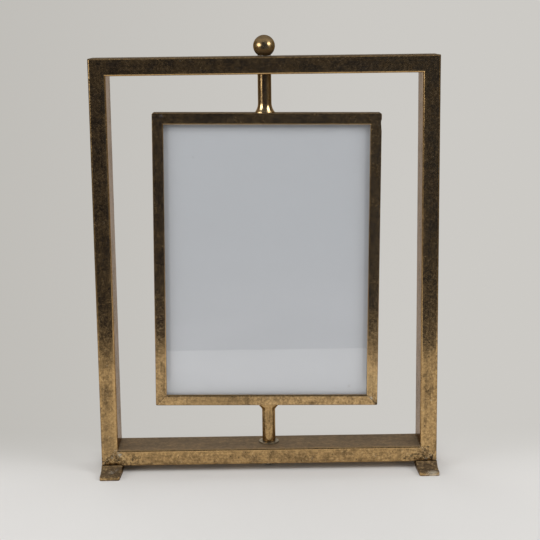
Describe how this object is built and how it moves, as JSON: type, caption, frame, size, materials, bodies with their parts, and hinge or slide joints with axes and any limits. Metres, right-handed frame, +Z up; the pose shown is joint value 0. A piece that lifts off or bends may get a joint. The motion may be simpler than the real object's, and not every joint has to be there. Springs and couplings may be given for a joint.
{
  "type": "photo frame",
  "caption": "Brass table photo frame: a glazed upright picture frame turns on short rods inside a rectangular stand with flared feet and a ball finial.",
  "frame": {"origin": "on the ground, centred under the swivel axis between the two feet", "axes": "+Z up along the swivel axis; -Y the side that the picture faces at rest; +X to the viewer's right"},
  "size_m": [0.254, 0.0662, 0.3259],
  "materials": {
    "brass_stand": "aged, dark patina with worn gold edges",
    "brass_feet": "aged, dark in the hollow, gold on the lip",
    "brass_picture_frame": "aged, dark patina, pitted",
    "brass_rods": "turned, aged",
    "brass_ball": "polished, aged",
    "brass_sleeves": "plain turned",
    "dark_washers": "dark green-brown patina",
    "steel_fixings": "plain",
    "clear_glass": "clear, polished",
    "blank_paper": "matt blank paper",
    "grey_board": "matt pulp board"
  },
  "bodies": {
    "stand": {"top_rail": "brass_stand", "bottom_rail": "brass_stand", "left_stile": "brass_stand", "right_stile": "brass_stand", "left_foot": "brass_feet", "right_foot": "brass_feet", "upper_sleeve": "brass_sleeves", "lower_sleeve": "brass_sleeves", "thrust_washer": "dark_washers"},
    "picture_frame": {"picture_top_bar": "brass_picture_frame", "picture_bottom_bar": "brass_picture_frame", "picture_left_bar": "brass_picture_frame", "picture_right_bar": "brass_picture_frame", "upper_rod": "brass_rods", "lower_rod": "brass_rods", "ball_finial": "brass_ball", "screw_washer": "dark_washers", "finial_stud": "steel_fixings", "pivot_screw": "steel_fixings", "front_glass": "clear_glass", "rear_glass": "clear_glass", "front_sheet": "blank_paper", "rear_sheet": "blank_paper", "backing_board": "grey_board"}
  },
  "joints": [
    {"name": "picture_swivel", "type": "hinge", "parent": "stand", "child": "picture_frame", "pos_m": [0, 0, 0.0177], "axis": [0, 0, 1], "continuous": true}
  ]
}
